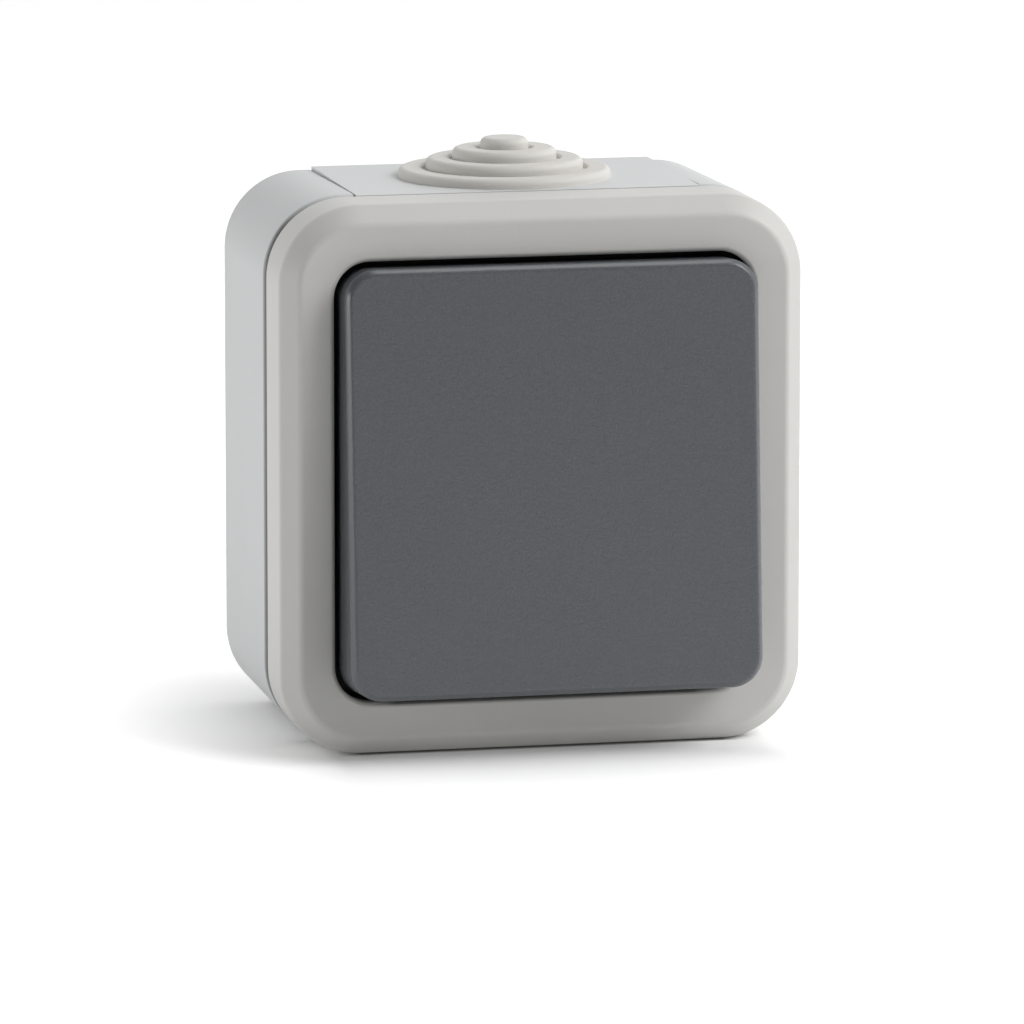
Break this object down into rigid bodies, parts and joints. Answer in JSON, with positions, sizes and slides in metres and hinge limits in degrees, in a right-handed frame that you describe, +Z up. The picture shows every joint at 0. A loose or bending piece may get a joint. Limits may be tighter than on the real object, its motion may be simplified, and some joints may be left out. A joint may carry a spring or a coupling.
{
  "type": "outdoor weatherproof switch",
  "caption": "Surface-mounted rocker switch in a rounded grey weatherproof box with a bevelled frame, a dark tilting rocker and a stepped cable grommet on top.",
  "frame": {"origin": "centre of the box's back face, on the wall plane", "axes": "+X to the right and +Z up as the switch hangs on a wall, +Y into the wall, so the rocker faces -Y"},
  "size_m": [0.0666, 0.047, 0.074],
  "materials": {
    "box_grey": "fine satin moulding",
    "plate_grey": "fine satin moulding",
    "grommet_rubber": "matt soft rubber",
    "gasket_rubber": "matt",
    "frame_grey": "satin moulding",
    "seal_rubber": "matt",
    "screw_steel": "zinc plated",
    "rocker_dark": "fine grained moulding",
    "carrier_white": "satin",
    "spring_steel": "drawn wire",
    "terminal_brass": "stamped strip",
    "contact_silver": "silver alloy",
    "clamp_steel": "zinc plated",
    "base_white": "matt",
    "yoke_grey": "satin"
  },
  "bodies": {
    "housing": {"back_box": "box_grey", "cable_entry_plate": "plate_grey", "cable_grommet": "grommet_rubber", "rim_gasket": "gasket_rubber", "front_frame": "frame_grey", "splash_seal": "seal_rubber", "frame_screws": "screw_steel", "common_terminal": "terminal_brass", "upper_terminal": "terminal_brass", "lower_terminal": "terminal_brass", "fixed_contacts": "contact_silver", "terminal_clamps": "clamp_steel", "terminal_screws": "screw_steel", "switch_base": "base_white", "mechanism_yoke": "yoke_grey", "mechanism_rivets": "screw_steel", "mechanism_screws": "screw_steel"},
    "rocker": {"rocker": "rocker_dark", "rocker_carrier": "carrier_white", "toggle_spring": "spring_steel"},
    "plunger": {"toggle_plunger": "carrier_white"},
    "bridge": {"contact_bridge": "terminal_brass", "moving_contacts": "contact_silver"}
  },
  "joints": [
    {"name": "rocker_tilt", "type": "hinge", "parent": "housing", "child": "rocker", "pos_m": [0, -0.0395, 0], "axis": [1, 0, 0], "range_deg": [0, 8.2]},
    {"name": "contact_tilt", "type": "hinge", "parent": "housing", "child": "bridge", "pos_m": [0, -0.0215, 0], "axis": [1, 0, 0], "range_deg": [-16.4, 0]},
    {"name": "plunger_slide", "type": "slide", "parent": "rocker", "child": "plunger", "axis": [0, -0.9974, 0.0715], "range_m": [0, 0.0008], "stiffness_N_per_m": 600, "springref_m": -0.001, "deforming": ["toggle_spring"]}
  ],
  "couplings": [
    {"joint": "contact_tilt", "follows": "rocker_tilt", "ratio": -2}
  ]
}
